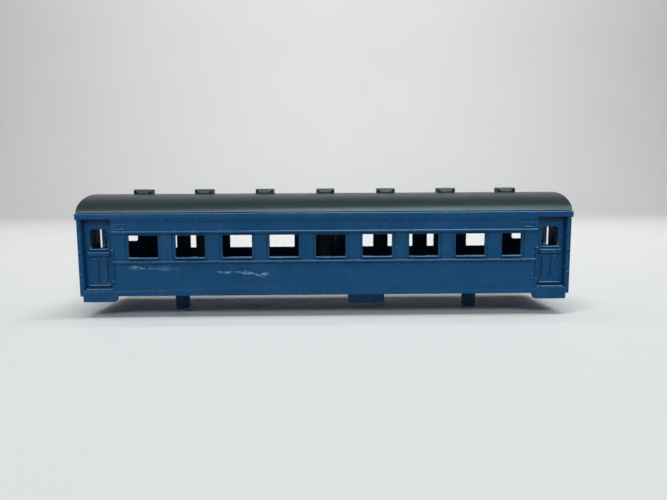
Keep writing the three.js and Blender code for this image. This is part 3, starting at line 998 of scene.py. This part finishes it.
def plastic_with_painted_light(name, colour, lighter, highlight_colour, roughness, shine):
    """Moulded plastic: slow colour drift and flow lines, with painted shade in hollow corners, under
    ledges and in deep recesses, and a painted highlight on outer edges that face upwards.
    """
    shader = Shader(name)
    place = shader.place()
    drift = shader.noise(place, 45.0, 3.0)
    flow = shader.noise(shader.stretch(place, (60, 260, 700)), 1.0, 3.0)
    tint = shader.math("ADD", shader.math("MULTIPLY", drift, 0.7), shader.math("MULTIPLY", flow, 0.3))
    base = shader.mix(shader.ramp(tint, 0.35, 0.65), colour, lighter)
    # Painted shade: a darker copy of the colour, laid where shade falls in hollow corners and under
    # ledges.
    painted_shade = [0.35 * part for part in colour[:3]] + [1]
    # Painted shade for deep recesses, such as the door tops under the gutter: darker and greyer still.
    painted_deep_shade = [0.008 + 0.2 * part for part in colour[:3]] + [1]
    # Painted shade in hollow corners and between parts.
    hollow = shader.ramp(shader.closeness(0.8 * MM), 0.2, 0.75, 0.0, 0.55)
    base = shader.mix(hollow, base, painted_shade)
    # Painted shade just under ledges, where a ledge shelters the wall from above.
    under = shader.ramp(shader.shelter(0.7 * MM), 0.12, 0.5, 0.0, 0.5)
    base = shader.mix(under, base, painted_shade)
    # Painted shade deep in recesses that are sheltered from above.
    recessed = shader.ramp(shader.shelter(3.5 * MM), 0.35, 0.85, 0.0, 0.8)
    base = shader.mix(recessed, base, painted_deep_shade)
    # Painted highlight: a lighter colour on outer edges that face upwards, where light catches them.
    edge = shader.ramp(shader.closeness(0.5 * MM, True), 0.08, 0.38)
    painted_edge_highlight = shader.math("MULTIPLY", edge, shader.ramp(shader.facing_up(), 0.02, 0.3))
    base = shader.mix(painted_edge_highlight, base, highlight_colour)
    rough = shader.ramp(shader.noise(place, 260.0, 4.0), 0.3, 0.7, roughness - 0.04, roughness + 0.05)
    normal = shader.bump(shader.noise(place, 400.0, 2.0), 0.1, 0.01 * MM)
    shader.feed(shader.surface, "Base Color", base)
    shader.feed(shader.surface, "Roughness", rough)
    shader.feed(shader.surface, "Normal", normal)
    shader.surface.inputs["IOR"].default_value = 1.5
    shader.surface.inputs["Specular IOR Level"].default_value = shine
    return shader


# The scuff, in millimetres along the coach, and below the eave where it starts
SCUFF_START = -65.5
SCUFF_END = -18.5
SCUFF_GAP = (-47.0, -37.5)
SCUFF_LEVEL = 17.9
SCUFF_SLOPE = 0.05
SCUFF_STRENGTH = 0.75
SCUFF_COLOUR = (0.32, 0.46, 0.6, 1)


def scuff(shader, place):
    """Strength of a whitish rubbed streak along the near side's lower panel, wandering as it falls."""
    axes = shader.node("ShaderNodeSeparateXYZ", Vector=place).outputs
    along = shader.math("DIVIDE", axes["X"], MM)
    under = shader.math("DIVIDE", shader.math("SUBTRACT", EAVE, axes["Z"]), MM)
    slope = shader.math("MULTIPLY", shader.math("SUBTRACT", along, SCUFF_START), SCUFF_SLOPE)
    wander = shader.ramp(shader.noise(shader.stretch(place, (110, 0, 0)), 1.0, 2.0), 0.3, 0.7, -0.7, 0.7)
    line = shader.math("ADD", shader.math("ADD", slope, SCUFF_LEVEL), wander)
    off = shader.math("ABSOLUTE", shader.math("SUBTRACT", under, line))
    width = shader.ramp(shader.noise(shader.stretch(place, (180, 0, 0)), 1.0, 2.0), 0.4, 0.62, 0.12, 1.0)
    band_strength = shader.ramp(shader.math("DIVIDE", off, width), 0.2, 1.0, 1.0, 0.0)
    streaks = shader.ramp(shader.noise(shader.stretch(place, (700, 0, 2600)), 1.0, 3.0), 0.44, 0.62)
    starts = shader.ramp(along, SCUFF_START, SCUFF_START + 2.5)
    stops = shader.ramp(along, SCUFF_END - 1.5, SCUFF_END, 1.0, 0.0)
    near = shader.ramp(axes["Y"], front(-0.1), front(-0.3), 1.0, 0.0)
    strength = shader.math("MULTIPLY", band_strength, streaks)
    before = shader.ramp(along, SCUFF_GAP[0] - 12, SCUFF_GAP[0], 1.5, 0.0)
    after = shader.ramp(along, SCUFF_GAP[1], SCUFF_GAP[1] + 4, 0.0, 1.6)
    for limit in (starts, stops, near, shader.math("MAXIMUM", before, after)):
        strength = shader.math("MULTIPLY", strength, limit)
    return strength


def blue_plastic():
    colour = (0.001, 0.067, 0.18, 1)
    lighter = (0.004, 0.079, 0.215, 1)
    # Colour of the painted highlight on upward-facing edges.
    highlight_colour = (0.07, 0.29, 0.52, 1)
    shader = plastic_with_painted_light("blue_styrene", colour, lighter, highlight_colour, 0.25, 0.5)
    place = shader.place()
    base = shader.surface.inputs["Base Color"].links[0].from_socket
    strength = shader.math("MULTIPLY", scuff(shader, place), SCUFF_STRENGTH)
    base = shader.mix(strength, base, SCUFF_COLOUR)
    shader.feed(shader.surface, "Base Color", base)
    return shader.material


def roof_plastic():
    colour = (0.02, 0.032, 0.035, 1)
    lighter = (0.026, 0.038, 0.042, 1)
    # Colour of the painted highlight on upward-facing edges.
    highlight_colour = (0.1, 0.14, 0.16, 1)
    return plastic_with_painted_light("grey_styrene", colour, lighter, highlight_colour, 0.38, 0.45).material


def vent_plastic():
    colour = (0.02, 0.027, 0.026, 1)
    lighter = (0.026, 0.033, 0.032, 1)
    # Colour of the painted highlight on upward-facing edges.
    highlight_colour = (0.08, 0.1, 0.1, 1)
    return plastic_with_painted_light("duller_grey_styrene", colour, lighter, highlight_colour, 0.4, 0.3).material


def screw_steel():
    shader = Shader("plated_steel")
    place = shader.place()
    turning = shader.noise(shader.stretch(place, (4000, 4000, 400)), 1.0, 3.0)
    base = shader.mix(shader.ramp(turning, 0.3, 0.7), (0.42, 0.42, 0.41, 1), (0.6, 0.6, 0.58, 1))
    shader.feed(shader.surface, "Base Color", base)
    shader.feed(shader.surface, "Roughness", shader.ramp(turning, 0.3, 0.7, 0.25, 0.42))
    shader.surface.inputs["Metallic"].default_value = 1.0
    shader.feed(shader.surface, "Normal", shader.bump(turning, 0.15, 0.01 * MM))
    return shader.material


def floor_material():
    shader = Shader("pale_floor")
    place = shader.place()
    base = shader.mix(shader.noise(place, 6.0, 3.0), (0.74, 0.75, 0.76, 1), (0.78, 0.785, 0.79, 1))
    rough = shader.ramp(shader.noise(place, 90.0, 4.0), 0.3, 0.7, 0.5, 0.6)
    shader.feed(shader.surface, "Base Color", base)
    shader.feed(shader.surface, "Roughness", rough)
    shader.surface.inputs["Specular IOR Level"].default_value = 0.08
    return shader.material


# Assembly

def finish_piece(obj, material, slot_name, *nodes):
    """Gives a piece its material and its place in the model."""
    obj.data.materials.clear()
    obj.data.materials.append(material)
    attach(obj, "root")
    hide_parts(*nodes)


def build_coach():
    blue = blue_plastic()
    grey = roof_plastic()
    dull_grey = vent_plastic()
    steel = screw_steel()
    finish_piece(coach_body(), blue, "body_blue", "body_shell")
    finish_piece(coach_floor(), blue, "body_blue", "floor_pan")
    finish_piece(coach_roof(), grey, "roof_grey", "roof")
    for number, node in enumerate(VENTS, 1):
        finish_piece(ventilator(f"roof_vent_{number}", node), dull_grey, "roof_grey", node)
    for number, node in enumerate(SCREWS, 1):
        finish_piece(screw(f"floor_screw_{number}", node), steel, "screw_steel", node)


# Stage

STAGE_HALF_WIDTH = 1.6
STAGE_NEAR = -1.4
STAGE_TURN = 0.75
STAGE_CURVE = 0.45
STAGE_TOP = 1.5
CURVE_STEPS = 16


def strip(name, line):
    """A sheet as wide as the stage, following a line of pairs of Y and Z."""
    points = [(x, y, z) for y, z in line for x in (-STAGE_HALF_WIDTH, STAGE_HALF_WIDTH)]
    faces = [(2 * i, 2 * i + 1, 2 * i + 3, 2 * i + 2) for i in range(len(line) - 1)]
    sheet = new_object(name, mesh_from(name, points, faces))
    sheet.data.shade_smooth()
    return sheet


def stage():
    """A pale floor, and a plain backdrop that curves up from it."""
    curve = []
    for i in range(CURVE_STEPS + 1):
        angle = math.radians(90 * i / CURVE_STEPS)
        curve.append((STAGE_TURN + STAGE_CURVE * math.sin(angle), STAGE_CURVE * (1 - math.cos(angle))))
    floor = strip("stage_floor", [(STAGE_NEAR, 0.0), (STAGE_TURN, 0.0)])
    backdrop = strip("stage_backdrop", [*curve, (STAGE_TURN + STAGE_CURVE, STAGE_TOP)])
    floor.visible_glossy = False
    backdrop.visible_diffuse = False
    pale = floor_material()
    for sheet in (floor, backdrop):
        sheet.data.materials.append(pale)


KEY_WATTS = 7.4
WINDOW_WATTS = 3.9
SHEEN_WATTS = 14.0
SIDE_SHEEN_WATTS = 3.4
BACKDROP_WATTS = 9.0
WORLD_STRENGTH = 0.08
KEY_COLOUR = (1.0, 0.99, 0.965)
WINDOW_COLOUR = (0.86, 0.97, 1.0)
SHEEN_COLOUR = (0.72, 0.9, 1.0)
SIDE_SHEEN_COLOUR = (0.85, 0.95, 1.0)
BACKDROP_COLOUR = (1.0, 0.99, 0.97)
WORLD_COLOUR = (0.93, 0.97, 1.0, 1)


def area_light(name, place, target, size, power, colour):
    light = bpy.data.lights.new(name, "AREA")
    light.shape = "RECTANGLE"
    light.size, light.size_y = size
    light.energy = power
    light.color = colour
    obj = bpy.data.objects.new(name, light)
    obj.location = place
    obj.rotation_euler = (Vector(target) - Vector(place)).to_track_quat("-Z", "Y").to_euler()
    bpy.context.scene.collection.objects.link(obj)
    return obj


def lights():
    """A narrow strip overhead, a window and two sheens in front, and a light on the backdrop."""
    aim = (0, 0, 0.03)
    key = area_light("key", (0.05, -0.11, 1.0), (0, 0, 0), (1.0, 0.06), KEY_WATTS, KEY_COLOUR)
    area_light("window", (0.1, -0.8, 0.66), aim, (0.9, 0.3), WINDOW_WATTS, WINDOW_COLOUR)
    sheen = area_light("sheen", (0.3, -0.72, 0.74), aim, (1.1, 0.95), SHEEN_WATTS, SHEEN_COLOUR)
    side_place = (-0.6, -0.72, 0.45)
    side_size = (0.6, 0.6)
    side_sheen = area_light("side_sheen", side_place, aim, side_size, SIDE_SHEEN_WATTS, SIDE_SHEEN_COLOUR)
    wall_aim = (0, 1.2, 0.3)
    behind = area_light("behind", (0, 0.25, 0.8), wall_aim, (1.8, 0.4), BACKDROP_WATTS, BACKDROP_COLOUR)
    key.visible_glossy = False
    behind.visible_glossy = False
    sheen.visible_diffuse = False
    side_sheen.visible_diffuse = False
    world = bpy.data.worlds.new("studio")
    world.use_nodes = True
    background = world.node_tree.nodes["Background"]
    background.inputs["Color"].default_value = WORLD_COLOUR
    background.inputs["Strength"].default_value = WORLD_STRENGTH
    bpy.context.scene.world = world


# Where the photographer's eye was, in millimetres from the middle of the eave
EYE_RIGHT, EYE_AWAY, EYE_ABOVE_EAVE = 0.2, 186.5, 6.0
# How the camera pointed, in degrees
YAW, PITCH, ROLL = 0.80, 6.21, -0.32
LENS_MM, SENSOR_MM = 27.9, 36.0


def camera():
    data = bpy.data.cameras.new("camera")
    data.lens = LENS_MM
    data.sensor_width = SENSOR_MM
    data.clip_start = 0.01
    data.clip_end = 20
    obj = bpy.data.objects.new("camera", data)
    turn = Matrix.Rotation(math.radians(-YAW), 4, "Z") @ Matrix.Rotation(math.radians(90 - PITCH), 4, "X")
    turn = turn @ Matrix.Rotation(math.radians(ROLL), 4, "Z")
    eye = Vector((EYE_RIGHT * MM, -EYE_AWAY * MM, EAVE + EYE_ABOVE_EAVE * MM))
    obj.matrix_world = Matrix.Translation(eye) @ turn
    bpy.context.scene.collection.objects.link(obj)
    bpy.context.scene.camera = obj


bpy.context.scene.view_settings.view_transform = "Standard"
build_coach()
stage()
lights()
camera()
